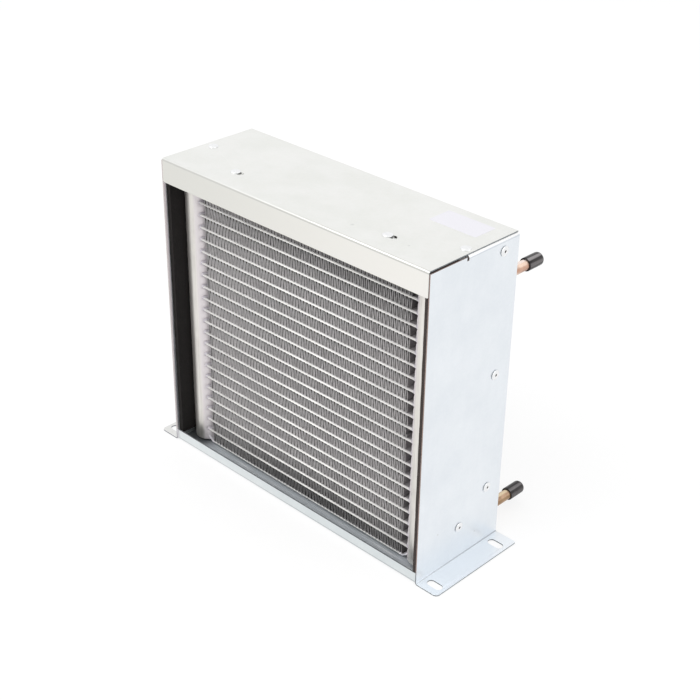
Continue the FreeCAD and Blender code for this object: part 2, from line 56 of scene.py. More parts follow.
# Sheets
SHEET_EDGE_ROUNDING = 0.12
SHEET_CUT_DEPTH = 1.4      # a face with more metal than this behind it is a cut edge
FOLD_FACE_WIDTH = 1.2      # faces narrower than this are part of a rounding or a fold
SHARP_EDGE = math.radians(50)
WELD_DISTANCE = 0.001      # vertices nearer than this are joined

# Coil
TUBE_COUNT = 22
TUBE_END_GAP = 0.2         # a flat tube ends this far inside its solid
NOSE_STEPS = 8             # mesh steps round a tube's nose
FOLD_WIDTH = 3.46          # one wave of a fin
FOLD_STEPS = 12            # mesh steps in one wave
FIN_STRIP = 0.2
CREST_SHARPNESS = 4.2      # how far the wave is clipped to steep legs with flat crests
ROW_SHIFT = 0.618          # from one row of fins to the next, in waves
LEG_DRIFT = 0.14           # uneven legs, in waves
DRIFT_ROW_STEP = 7.3       # between two rows' stretches of the drift's noise
DRIFT_SCALE = 0.45
LOUVRE_PITCH = 1.3
HEADER_WALL = 1.5
HEADER_SEGMENTS = 72
HEADER_ROW = 0.92          # height of one ring of the header's mesh
HEADER_RIM = ((0.0, -0.5), (0.12, -0.15), (0.5, 0.0))  # rounded rim: in from the end, out from the wall
SLOT_DIP = 1.5             # how far the header is pressed in around a tube
SLOT_DIP_HEIGHT = 3.6
SLOT_DIP_SIDE = 1.4        # the dip ends this far beside the tube
SLOT_DIP_FADE = 2.6
FILLET_SECTION = (         # braze around a tube: off the tube's face, out from the header
    (0.02, 0.9), (0.12, 0.3), (0.35, -0.35), (0.8, -0.95),
    (1.3, -1.35), (0.7, -1.9), (-0.3, -1.7), (-0.3, 0.4),
)
FILLET_FLATS = 12          # mesh steps along a tube's flat side
FILLET_NOSE_STEPS = 6
BRAZE_DROPS = (((104.6, -27.6, 3.9), 0.9), ((110.0, -27.0, 6.2), 0.8))  # centre and radius
DROP_SQUASH = (1.25, 1.0, 0.8)
DROP_SWELL = 0.3
DROP_NOISE = 1.7

# Foam, rivets, caps and label
LINING_GAP = 0.3           # foam hollow around a header
LINING_STEP = 2.0
LINING_FRONT_STEPS = 4
LINING_SIDE_STEPS = 12
LINING_ARC_STEPS = 14
LINING_CUT_SETBACK = 0.3   # middle of the uneven front face, inside the solid's
LINING_WOBBLE = ((0.11, 0.22), (0.45, 0.1))  # unevenness: how often and how deep
LINING_SIDE_WOBBLE = 0.4   # share of it on the side towards the coil
LIP_NOTCH_TOP = 9.2        # foam notch over the tray's lip
LIP_NOTCH_FRONT = -41.0
RIVET_HEIGHT = 1.3
RIVET_SEGMENTS = 40
RIVET_FOOT = -0.3          # a head reaches this far into the sheet
PIN_RADIUS = 0.96
CAP_SEGMENTS = 56
CAP_ROUNDING = 2.6
CAP_ROUNDING_STEPS = 8
CAP_WALL = 1.05
CAP_END_WALL = 1.1
CAP_TAPER = 0.05
LABEL_LOW = (79.0, 16.9)   # label corner on the cover, x and y
LABEL_SIZE = (41.2, 21.2)
LABEL_THICKNESS = 0.14
LABEL_CORNER = 0.8
LABEL_CORNER_STEPS = 4
LABEL_LEVELS = ((0.0, 0.0), (0.0, 0.6), (0.08, 1.0))  # inset, and share of the thickness

# Places on the sheets, most of them for painted light and shade: for each axis, pairs of places where a touch
# of colour is gone and where it is full
# Painted light: the feet lighter, as they face the light above
FEET = {"z": (3, 1)}
# Painted shade: the left foot darker, in the casing's shade
LEFT_FOOT = {"z": (3, 1), "x": (-128, -132)}
# Painted shade in the folds between the panels and their feet
FOOT_FOLDS = {"z": (1.9, 1.6), "off_middle": (134.75, 134.45)}
# Painted highlight along the panels' top folds
PANEL_TOP_FOLDS = {"z": (247.5, 248.1), "y": (-7, -5)}
# Painted shade just under the panels' top folds
UNDER_TOP_FOLDS = {"z": (246.3, 246.9, 247.6, 247.1), "y": (-7, -5)}
# Painted light: the cover's front lip a little lighter than its top
COVER_LIP = {"y": (-43.05, -43.35)}
# Painted shade: the cover's front lip darker towards the left
COVER_LIP_LEFT = {"y": (-43.05, -43.35), "x": (160, -150)}
# Painted shade that dims the lamp's highlight on the upper front fold, towards the right
COVER_FOLD_SHINE = {"z": (249.1, 249.5), "y": (-41.6, -42.2), "x": (-30, 40)}
COVER_FOLD_SHADE = {"z": (247.6, 248.1, 249.3, 248.9), "y": (-42.7, -42.9)}
# Painted light on the cut walls of the cover's slots, where shade falls
COVER_SLOTS = {"off_middle": (129, 127), "y": (-32, -31, -9, -11), "z": (248.8, 248.9)}
TRAY_FLOOR = {"z": (1.9, 1.3), "y": (-41.2, -40.8)}
# Painted shade in the tray's left corner, by the header and the foam
TRAY_LEFT_END = {"z": (1.9, 1.3), "y": (-41.2, -40.8), "x": (-97, -117)}
# Painted shadow along the foot of the tray's front lip, where it meets the floor
TRAY_HEM = {"z": (2.4, 1.4), "y": (-40.8, -41.2)}
# Painted light: the tray's front lip a little lighter towards the left
TRAY_LIP_LEFT = {"y": (-41.9, -42.1), "x": (40, -60)}

# Small marks: centre, radius and, where it differs, softness
PANEL_DENTS = (((134.0, 20.5, 14.6), 1.2), ((134.0, -21.9, 33.6), 1.4))
COVER_DENTS = (((49.2, -26.9, 250.0), 2.2), ((97.9, -24.0, 250.0), 1.6))
FOAM_CRUMBS = (((-129.0, -26.2, 111.9), 0.45, 0.2), ((-129.6, -41.7, 94.4), 0.4, 0.2),
               ((-130.1, -41.7, 71.1), 0.6, 0.3))
FLUX_SPOTS = (((-93.4, -27.5, 211.4), 0.7, 0.3), ((-34.3, -27.5, 160.9), 0.6, 0.3))
SLOT_SHADE_OFFSET = (4.9, 2.4, 0.2)  # from the right coil rivet on the cover to the painted shade of the dark gap in its slot
SLOT_SHADE_RADIUS = 1.6
SLOT_SHADE_SOFTNESS = 0.3
CAP_SHINE_RADIUS = 5.05
CAP_SHINE_LINES = ((64, 0.22, "a29e9f"), (10, 0.3, "716d6e"))  # painted highlights along the caps: degrees over +X, width and tone

# The camera, fitted to the photograph's edges
CAMERA_PLACE = (638.5, -639.0, 634.9)
CAMERA_AZIMUTH = 43.93
CAMERA_ELEVATION = 29.56
CAMERA_ROLL = 0.93
CAMERA_LENS = 71.06

# Light
FLOOR_SIZE = 6000.0
FLOOR_DROP = 0.4           # under the feet, so that they don't flicker with the floor
SURROUND_LIGHT = 0.86
FLOOR_CAMERA_SHARE = 0.74
FLOOR_CAMERA_LEVEL = 1.03
FLOOR_MIRROR_SHARE = 0.96
LAMP_TARGET = (0, 0, 120)
LAMPS = (                  # name, place, watts and size
    ("key_softbox", (-500, -1100, 1500), 9.0, 1100),
    ("side_softbox", (1500, 100, 900), 5.0, 1000),
)


def box_of(node):
    """The lowest and highest corners of a solid, in millimetres."""
    low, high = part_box(node)
    return low / MM, high / MM


def srgb(code):
    """Linear colour of a six-digit hex code."""
    parts = [int(code[i:i + 2], 16) / 255 for i in (0, 2, 4)]
    return tuple(p / 12.92 if p <= 0.04045 else ((p + 0.055) / 1.055) ** 2.4 for p in parts)


class Value:
    """A node's socket on which plain arithmetic adds Math nodes."""

    def __init__(self, nodes, socket):
        self.nodes = nodes
        self.socket = socket

    def math(self, operation, *others):
        """The result of a Math node on this value and others."""
        terms = dict(enumerate((self, *others)))
        node = self.nodes.node("ShaderNodeMath", {"operation": operation}, terms)
        return Value(self.nodes, node.outputs[0])

    def __add__(self, other):
        return self.math("ADD", other)

    def __sub__(self, other):
        return self.math("SUBTRACT", other)

    def __mul__(self, other):
        return self.math("MULTIPLY", other)

    def __truediv__(self, other):
        return self.math("DIVIDE", other)

    def __rsub__(self, other):
        return self * -1.0 + other

    __radd__ = __add__
    __rmul__ = __mul__

    def step(self, start, end):
        """0 at start and 1 at end, smooth between them; start may be the higher one."""
        node = self.nodes.node("ShaderNodeMapRange", {"interpolation_type": "SMOOTHSTEP"}, {
            "Value": self, "From Min": start, "From Max": end, "To Min": 0.0, "To Max": 1.0,
        })
        return Value(self.nodes, node.outputs["Result"])

    def ripple(self, period):
        """0 in the middle of each period and 0.5 at its ends."""
        return ((self / period).math("FRACT") - 0.5).math("ABSOLUTE")


class Nodes:
    """A node tree, with short ways to add and feed its nodes."""

    def __init__(self, tree):
        self.tree = tree

    def node(self, kind, settings=None, values=None):
        """A node: its settings first, then the values or links of its sockets."""
        made = self.tree.nodes.new(kind)
        for name, value in (settings or {}).items():
            setattr(made, name, value)
        for name, value in (values or {}).items():
            self.feed(made.inputs[name], value)
        return made

    def feed(self, socket, value):
        """Link a value to a socket, or set it; a colour is a hex code."""
        if isinstance(value, Value):
            value = value.socket
        if isinstance(value, bpy.types.NodeSocket):
            self.tree.links.new(value, socket)
        elif socket.type == "RGBA":
            socket.default_value = (*srgb(value), 1.0)
        else:
            socket.default_value = value


class Finish(Nodes):
    """A material with a Principled shader, and short ways to patterns in object coordinates.

    x, y and z are the place shaded and off_middle its distance from the middle plane, in millimetres.
    """

    def __init__(self, name, metallic=0.0, roughness=0.5, specular=0.5):
        self.material = bpy.data.materials.new(name)
        self.material.use_nodes = True
        super().__init__(self.material.node_tree)
        self.tree.nodes.clear()
        self.shader = self.node("ShaderNodeBsdfPrincipled", {}, {
            "Metallic": metallic, "Roughness": roughness, "Specular IOR Level": specular,
        })
        self.output = self.node("ShaderNodeOutputMaterial", {}, {"Surface": self.shader.outputs["BSDF"]})
        self.place = self.node("ShaderNodeTexCoord").outputs["Object"]
        parts = self.node("ShaderNodeSeparateXYZ", {}, {"Vector": self.place})
        self.x, self.y, self.z = (Value(self, parts.outputs[axis]) / MM for axis in "XYZ")
        self.off_middle = self.x.math("ABSOLUTE")

    def pattern(self, kind, size, stretch, values):
        """A texture node with features of about a size, in object coordinates scaled by axis."""
        place = self.node("ShaderNodeVectorMath", {"operation": "MULTIPLY"}, {0: self.place, 1: stretch})
        return self.node(kind, {}, {"Vector": place.outputs["Vector"], "Scale": 1 / (size * MM), **values})

    def noise(self, size, detail=3.0, stretch=(1, 1, 1)):
        """Noise from 0 to 1 with blotches of about a size."""
        node = self.pattern("ShaderNodeTexNoise", size, stretch, {"Detail": detail, "Roughness": 0.55})
        return Value(self, node.outputs["Fac"])

    def cells(self, size):
        """Distance from the middles of cells of about a size."""
        return Value(self, self.pattern("ShaderNodeTexVoronoi", size, (1, 1, 1), {}).outputs["Distance"])

    def mix(self, low, high, factor):
        """A colour between two colours."""
        node = self.node("ShaderNodeMix", {"data_type": "RGBA"})
        sockets = {socket.identifier: socket for socket in (*node.inputs, *node.outputs)}
        for name, value in (("Factor_Float", factor), ("A_Color", low), ("B_Color", high)):
            self.feed(sockets[name], value)
        return sockets["Result_Color"]

    def spot(self, centre, radius, softness):
        """1 inside a round spot, fading out."""
        node = self.node("ShaderNodeVectorMath", {"operation": "DISTANCE"},
                         {0: self.place, 1: [c * MM for c in centre]})
        return (Value(self, node.outputs["Value"]) / MM).step(radius + softness, radius - softness)

    def within(self, **limits):
        """1 inside limits: for each axis, pairs of places where the share is 0 and where it is 1."""
        share = 1.0
        for axis, places in limits.items():
            for outside, inside in zip(places[::2], places[1::2]):
                share = getattr(self, axis).step(outside, inside) * share
        return share

    def share(self, place):
        """The share of a place, which is limits for within, or a function that makes it from the finish."""
        return place(self) if callable(place) else self.within(**place)

    def near_faces(self, node, depth, softness):
        """1 near a solid's front and rear faces, in to a depth."""
        low, high = box_of(node)
        reach = (high.y - low.y) / 2 - depth
        away = (self.y - (low.y + high.y) / 2).math("ABSOLUTE")
        return away.step(reach - softness, reach + softness)

    def facing(self, axis_x, axis_z, degrees):
        """How far the surface lies out from an axis along Y, towards an angle over +X."""
        angle = math.radians(degrees)
        return (self.x - axis_x) * math.cos(angle) + (self.z - axis_z) * math.sin(angle)

    def paint(self, body, *layers):
        """The base colour: a body colour with tones laid over it, each by its share."""
        for tone, share in layers:
            body = self.mix(body, tone, share)
        self.set("Base Color", body)

    def bump(self, height, strength, distance):
        """A bump from a height value."""
        values = {"Height": height, "Strength": strength, "Distance": distance * MM}
        self.set("Normal", self.node("ShaderNodeBump", {}, values).outputs["Normal"])

    def set(self, name, value):
        """Set or link one of the shader's inputs."""
        self.feed(self.shader.inputs[name], value)


def zinc_sheet(name, tone, cloud_tone, touches, dents=(), metallic=0.86, dull=None):
    """Zinc-coated sheet: faint cloudy mottling, a fine rolled grain and a few shallow dents.

    Each touch is a tone, its strength and its place, most of them painted light and shade, and dull is the
    place with less metal shine.
    """
    finish = Finish(name, metallic)
    clouds = finish.noise(30.0, 4.0)
    flecks = finish.noise(2.4, 2.0)
    smears = finish.noise(9.0, stretch=(1, 1, 0.35))
    shade = clouds.step(0.28, 0.72) * 0.6 + flecks.step(0.3, 0.75) * 0.2 + smears.step(0.3, 0.7) * 0.2
    height = finish.noise(0.9, 2.0) * 0.06
    layers = [(touch_tone, finish.share(place) * strength) for touch_tone, strength, place in touches]
    for centre, radius in dents:
        height = height - finish.spot(centre, radius * 0.4, radius * 0.8)
        layers.append(("c9cac8", finish.spot(centre, radius * 0.5, radius * 0.4) * 0.5))
    finish.paint(finish.mix(cloud_tone, tone, shade), *layers)
    finish.set("Roughness", 0.28 + clouds * 0.08 + smears * 0.06)
    finish.bump(height, 0.5, 0.12)
    if dull is not None:
        finish.set("Metallic", metallic - finish.share(dull) * 0.6)
    return finish.material


def inner_strip(finish):
    """Painted light on the strip of the left panel's inner side that shows in front of the foam, brighter
    towards its top.
    """
    inner = finish.within(x=(-133.3, -133.1, -132.7, -132.9))
    front = finish.y - finish.within(z=(70, 140)) * 0.95
    return inner * front.step(-41.75, -42.45) * (finish.z * 0.0014 + 0.7)


def tray_streaks(finish):
    """Pale rolling streaks along the tray's floor."""
    return finish.within(**TRAY_FLOOR) * finish.noise(1.1, 1.0, stretch=(0.03, 1, 1)).step(0.52, 0.7)


def slot_shade(finish):
    """Painted shade: the dark gap at the far side of the cover's right slot, beside its rivet."""
    low, high = box_of("coil_rivets")
    head_radius = (high.y - low.y) / 2
    rivet = Vector((high.x - head_radius, low.y + head_radius, box_of("top_cover")[1].z))
    return finish.spot(rivet + Vector(SLOT_SHADE_OFFSET), SLOT_SHADE_RADIUS, SLOT_SHADE_SOFTNESS)


def cut_edge_finish():
    """Bare steel of a sheet's cut edge: brown on the panels, grey elsewhere; painted paler at the left as
    painted light, with painted shade low in the left corner, painted light on the cover slots' walls and
    painted shade in the right slot's gap.
    """
    finish = Finish("cut_steel_edge", metallic=0.5)
    streaks = finish.noise(0.6, 2.0)
    brown = finish.within(off_middle=(132.9, 133.0), z=(8, 14))
    dark = finish.mix("6c7074", "85736d", brown)
    light = finish.mix("8f9498", "ab9890", brown)
    left = finish.within(x=(-112, -128))
    finish.paint(finish.mix(dark, light, streaks.step(0.3, 0.7)),
                 ("d3ccca", left * 0.75),
                 ("84858e", left * finish.within(z=(13.5, 7.5)) * 0.95),
                 ("f0f0ee", finish.within(**COVER_SLOTS)),
                 ("231d1b", slot_shade(finish)))
    finish.set("Roughness", 0.45 + streaks * 0.16)
    return finish.material


def foam_finish():
    """Matte black closed-cell foam with a few pale crumbs, browner at the right."""
    finish = Finish("black_foam", roughness=0.9, specular=0.25)
    cells = finish.cells(0.9)
    black = finish.mix("151414", "292625", cells)
    brown = finish.mix("312b29", "4d4542", cells)
    crumbs = sum((finish.spot(*crumb) for crumb in FOAM_CRUMBS), finish.cells(17.0).step(0.03, 0.014))
    finish.paint(finish.mix(black, brown, finish.within(x=(0, 10))), ("b4aea8", crumbs))
    finish.bump(cells, 0.5, 0.2)
    return finish.material


def tube_finish():
    """Pale brazed aluminium of the flat tubes' noses, with flux haze; painted shade on each nose's lower edge
    and deeper in the pack between the fins.
    """
    finish = Finish("tube_aluminium", metallic=0.15)
    haze = finish.noise(5.0, stretch=(0.4, 1, 1))
    low = box_of("flat_tubes")[0]
    pitch = rise_and_pitch()[1]
    height = ((finish.z - low.z) / pitch).math("FRACT") * pitch
    between = 1.0 - finish.near_faces("flat_tubes", 1.4, 0.5)
    finish.paint(finish.mix("edece9", "fffefb", haze.step(0.3, 0.7)),
                 ("8f8b8c", height.step(0.5, 0.2) * 0.8),
                 ("7c787b", between * 0.85))
    finish.set("Roughness", 0.42 + haze * 0.14)
    return finish.material


def plate_finish():
    """Dull aluminium of the side plates, with a pale beaded line of braze along the lower one, painted bright
    as a highlight.
    """
    finish = Finish("side_plate_aluminium")
    haze = finish.noise(4.0, stretch=(0.2, 1, 1))
    low, high = box_of("fins")
    bead = finish.x.ripple(FOLD_WIDTH).step(0.32, 0.16) * 0.25 + 0.75
    top_edge = finish.within(z=(low.z - 0.5, low.z - 0.3, 21, 19))
    line = bead * top_edge * finish.near_faces("coil_side_plate_bottom", 0.9, 0.2)
    finish.paint(finish.mix("86898c", "b4b6b8", haze.step(0.3, 0.7)),
                 ("fffefb", line),
                 ("f4f1f6", finish.within(off_middle=(high.x - 4.0, high.x + 1.0))))
    finish.set("Metallic", 0.5 - line * 0.5)
    finish.set("Roughness", 0.42 + haze * 0.16)
    return finish.material


def braze_finish():
    """Matte lavender-grey braze metal around the tubes' ends."""
    finish = Finish("braze_metal", metallic=0.25)
    grain = finish.noise(0.9)
    finish.paint(finish.mix("bdb9c0", "dad6da", grain.step(0.3, 0.7)), ("fbf9fd", finish.within(z=(10, 6))))
    finish.set("Roughness", 0.62 + grain * 0.16)
    finish.bump(grain, 0.3, 0.08)
    return finish.material


def fin_finish():
    """Aluminium strip, painted darker inside the pack and lighter along its front edges as light and shade,
    with painted shade in the folds under each tube.
    """
    finish = Finish("fin_aluminium", metallic=0.3)
    low, high = box_of("fins")
    rise = ((finish.z - low.z) / rise_and_pitch()[1]).math("FRACT")
    tone = finish.noise(2.2, 2.0)
    slit = finish.y.ripple(LOUVRE_PITCH).step(0.38, 0.47)
    # Painted shade in the pockets under the tubes, at the row ends and in the lowest and top rows; painted
    # light on the lower outer parts, along the front edges and along the lowest edge
    under_tube = rise.step(0.56, 0.74) * rise.step(0.95, 0.88)
    leg = Value(finish, finish.node("ShaderNodeAttribute", {"attribute_name": "falling_leg"}).outputs["Fac"])
    pocket = under_tube * (leg.step(-0.4, 0.4) * 0.65 + 0.32)
    sides = finish.within(off_middle=(25, 85))
    row_ends = finish.within(off_middle=(high.x - 3.4, high.x - 0.6)) * 0.66
    foot = finish.within(z=(40, 6)) * (0.82 - sides * 0.34)
    top = finish.within(z=(185, 225), x=(-150, 60)) * 0.6
    hem = finish.within(z=(low.z + 0.75, low.z + 0.45))
    edge_light_share = (1.0 - row_ends * 0.6) * (1.0 - foot * 0.6) * (1.0 - top * 0.5)
    flux = sum((finish.spot(*spot) for spot in FLUX_SPOTS), finish.cells(15.0).step(0.04, 0.02))
    finish.paint(finish.mix("a29e9f", "c6c2c2", tone.step(0.3, 0.7)),
                 ("dedada", sides * finish.within(z=(190, 150)) * 0.3),
                 ("6a6667", slit * 0.4),
                 ("1c1819", pocket),
                 ("3a3637", row_ends),
                 ("4c4a49", foot.math("MAXIMUM", top)),
                 ("fbf9f9", finish.near_faces("fins", 0.45, 0.2) * edge_light_share.math("MAXIMUM", hem)),
                 ("ffffff", flux))
    finish.set("Roughness", 0.4 + tone * 0.14)
    return finish.material


def header_finish():
    """Satin aluminium of the headers: faint streaks along the tube, lavender haze beside the tubes, and
    painted shade at the foot of the left header.
    """
    finish = Finish("header_aluminium")
    streaks = finish.noise(1.6, stretch=(1, 1, 0.03))
    flux = finish.within(off_middle=(116, 112.5))
    finish.paint(finish.mix("d3cfca", "eeebe5", streaks.step(0.25, 0.75)),
                 ("e8e5df", finish.noise(12.0).step(0.35, 0.7) * 0.6),
                 ("8f928c", finish.within(z=(34, 5), x=(-99, -101)) * 0.28),
                 ("e2dcde", flux))
    finish.set("Metallic", 0.82 - flux * 0.4)
    finish.set("Roughness", 0.3 + streaks * 0.12 + flux * 0.2)
    finish.bump(streaks, 0.08, 0.05)
    return finish.material


def grained_finish(name, dark, light, grain_size, roughness, uneven=0.0, metallic=0.0, relief=0.0):
    """A plain finish whose tone, roughness and relief vary with a fine grain."""
    finish = Finish(name, metallic)
    grain = finish.noise(grain_size, 2.0)
    finish.paint(finish.mix(dark, light, grain))
    finish.set("Roughness", roughness + grain * uneven)
    if relief > 0:
        finish.bump(grain, 0.05, relief)
    return finish.material


def pipe_axis(finish):
    """Axis x of the stubs and their caps, and the axis height at the place shaded."""
    low, high = box_of("pipe_cap_inlet")
    outlet_low, outlet_high = box_of("pipe_cap_outlet")
    upper_z = (low.z + high.z) / 2
    lower_z = (outlet_low.z + outlet_high.z) / 2
    upper = finish.z.step(0.4 * upper_z, 0.6 * upper_z)
    return (low.x + high.x) / 2, upper * (upper_z - lower_z) + lower_z


def copper_finish():
    """Drawn copper with pink haze on the upper stub and browner haze on the lower one, a painted highlight
    along each stub's top and painted shade along its side.
    """
    finish = Finish("stub_copper", metallic=0.88)
    haze = finish.noise(6.0, stretch=(1, 0.5, 1))
    streaks = finish.noise(1.2, 2.0, stretch=(1, 0.06, 1))
    axis = pipe_axis(finish)
    upper = finish.within(z=(100, 120))
    dark = finish.mix("7a5a46", "9d725f", upper)
    light = finish.mix("cfae91", "fbe0cd", upper)
    finish.paint(finish.mix(dark, light, haze.step(0.28, 0.66)),
                 (light, streaks * 0.4),
                 (finish.mix("e9d9b8", "fdf0ea", upper), finish.facing(*axis, 92).step(3.55, 3.9) * 0.75),
                 (finish.mix("8a6f4c", "c6977e", upper), finish.facing(*axis, 12).step(3.6, 3.95) * 0.6))
    finish.set("Roughness", 0.26 + haze * 0.16)
    return finish.material


def cap_finish():
    """Black soft plastic, painted paler along two lines as highlights, more so on the upper cap."""
    finish = Finish("cap_black_plastic", specular=0.3)
    scuff = finish.noise(2.5, stretch=(1, 0.15, 1))
    axis_x, axis_z = pipe_axis(finish)
    shine_share = (0.5 + scuff * 0.5) * (axis_z * 0.0022 + 0.54)
    layers = []
    for degrees, width, tone in CAP_SHINE_LINES:
        line = finish.facing(axis_x, axis_z, degrees).step(CAP_SHINE_RADIUS - width, CAP_SHINE_RADIUS)
        layers.append((tone, line * shine_share))
    finish.paint(finish.mix("1f1c1d", "393637", scuff.step(0.3, 0.7)), *layers)
    finish.set("Roughness", 0.2 + scuff * 0.14)
    return finish.material


def skinned(rings, loop=False, ends=False):
    """A bmesh with faces between neighbouring rings of points, where a ring of one point is a pole."""
    shape = bmesh.new()
    rings = [[shape.verts.new([c * MM for c in point]) for point in ring] for ring in rings]
    for lower, upper in zip(rings, rings[1:] + rings[:1] if loop else rings[1:]):
        count = max(len(lower), len(upper))
        for i in range(count):
            j = (i + 1) % count
            corners = [lower[k % len(lower)] for k in (i, j)] + [upper[k % len(upper)] for k in (j, i)]
            shape.faces.new(tuple(dict.fromkeys(corners)))
    if ends:
        shape.faces.new(rings[0])
        shape.faces.new(rings[-1])
    bmesh.ops.recalc_face_normals(shape, faces=shape.faces)
    return shape


def turned_profile(profile, segments):
    """A bmesh turned about +Z from (radius, height) pairs, where radius 0 is a pole."""
    rings = []
    for radius, height in profile:
        angles = turns(segments if radius > 0 else 1)
        rings.append([(radius * math.cos(angle), radius * math.sin(angle), height) for angle in angles])
    return skinned(rings)


def turns(count):
    """Evenly spaced angles of a full turn."""
    return [2 * math.pi * i / count for i in range(count)]


def welded(node):
    """A solid's mesh as a bmesh with its doubled vertices joined."""
    shape = bmesh.new()
    shape.from_mesh(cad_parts[node].data)
    bmesh.ops.remove_doubles(shape, verts=shape.verts, dist=WELD_DISTANCE * MM)
    return shape


def as_mesh(name, shape):
    """A bmesh as a mesh; the bmesh is used up."""
    mesh = bpy.data.meshes.new(name)
    shape.to_mesh(mesh)
    shape.free()
    return mesh


def smooth(shape, degrees):
    """Smooth shading that keeps edges sharper than an angle."""
    for face in shape.faces:
        face.smooth = True
    for edge in shape.edges:
        edge.smooth = len(edge.link_faces) == 2 and edge.calc_face_angle(0) < math.radians(degrees)


def dress(mesh, material):
    """Give a mesh one finish."""
    mesh.materials.clear()
    mesh.materials.append(material)


def add_piece(mesh, body, material=None):
    """A finished piece at the origin, named as its mesh and riding on a body."""
    piece = bpy.data.objects.new(mesh.name, mesh)
    bpy.context.scene.collection.objects.link(piece)
    if material is not None:
        dress(mesh, material)
    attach(piece, body)
    return piece


class Growth(Nodes):
    """A Geometry Nodes tree with named inputs."""

    def __init__(self, name):
        super().__init__(bpy.data.node_groups.new(name, "GeometryNodeTree"))
        for way in ("INPUT", "OUTPUT"):
            self.tree.interface.new_socket("Geometry", in_out=way, socket_type="NodeSocketGeometry")
        self.entry = self.tree.nodes.new("NodeGroupInput")
        self.exit = self.tree.nodes.new("NodeGroupOutput")
        self.values = {}

    def input(self, name, kind, value):
        """A named input of the tree, with the value that the modifier gets."""
        made = self.tree.interface.new_socket(name, in_out="INPUT", socket_type="NodeSocket" + kind)
        self.values[made.identifier] = value
        return self.entry.outputs[name]

    def vector(self, **parts):
        """A vector from its parts."""
        return self.node("ShaderNodeCombineXYZ", {}, parts).outputs[0]

    def grown(self, name, source, result):
        """The plain mesh that the tree makes from a source mesh."""
        self.feed(self.exit.inputs[0], result)
        holder = bpy.data.objects.new(name + "_growing", source)
        bpy.context.scene.collection.objects.link(holder)
        modifier = holder.modifiers.new("growth", "NODES")
        modifier.node_group = self.tree
        for identifier, value in self.values.items():
            modifier[identifier] = value
        evaluated = holder.evaluated_get(bpy.context.evaluated_depsgraph_get())
        mesh = bpy.data.meshes.new_from_object(evaluated)
        mesh.name = name
        bpy.data.objects.remove(holder)
        return mesh


def set_on_points(name, places, source, material=None):
    """Copies of a source mesh on points, each turned from upright to its own direction."""
    points = bpy.data.meshes.new(name + "_points")
    points.from_pydata([[c * MM for c in place] for place, facing in places], [], [])
    facing = points.attributes.new("facing", "FLOAT_VECTOR", "POINT")
    for item, (place, direction) in zip(facing.data, places):
        item.vector = direction
    pattern = bpy.data.objects.new(name + "_pattern", source)
    growth = Growth(name + "_setting")
    shape = growth.input("Copied Piece", "Object", pattern)
    named = growth.node("GeometryNodeInputNamedAttribute", {"data_type": "FLOAT_VECTOR"}, {"Name": "facing"})
    turned = growth.node("FunctionNodeAlignRotationToVector", {"axis": "Z"}, {"Vector": named.outputs[0]})
    copied = growth.node("GeometryNodeObjectInfo", {}, {"Object": shape})
    placed = growth.node("GeometryNodeInstanceOnPoints", {}, {
        "Points": growth.entry.outputs["Geometry"], "Instance": copied.outputs["Geometry"],
        "Rotation": turned.outputs[0],
    })
    solid = growth.node("GeometryNodeRealizeInstances", {}, {0: placed.outputs[0]}).outputs[0]
    if material is not None:
        colour = growth.input("Finish", "Material", material)
        solid = growth.node("GeometryNodeSetMaterial", {}, {"Geometry": solid, "Material": colour}).outputs[0]
    mesh = growth.grown(name, points, solid)
    bpy.data.objects.remove(pattern)
    return mesh


def rise_and_pitch():
    """The open height of a fin row and the pitch of the tubes, from the solids."""
    low, high = box_of("flat_tubes")
    fin_low, fin_high = box_of("fins")
    rise = ((fin_high.z - fin_low.z) - (high.z - low.z)) / 2
    thickness = (high.z - low.z - (TUBE_COUNT - 1) * rise) / TUBE_COUNT
    return rise, rise + thickness


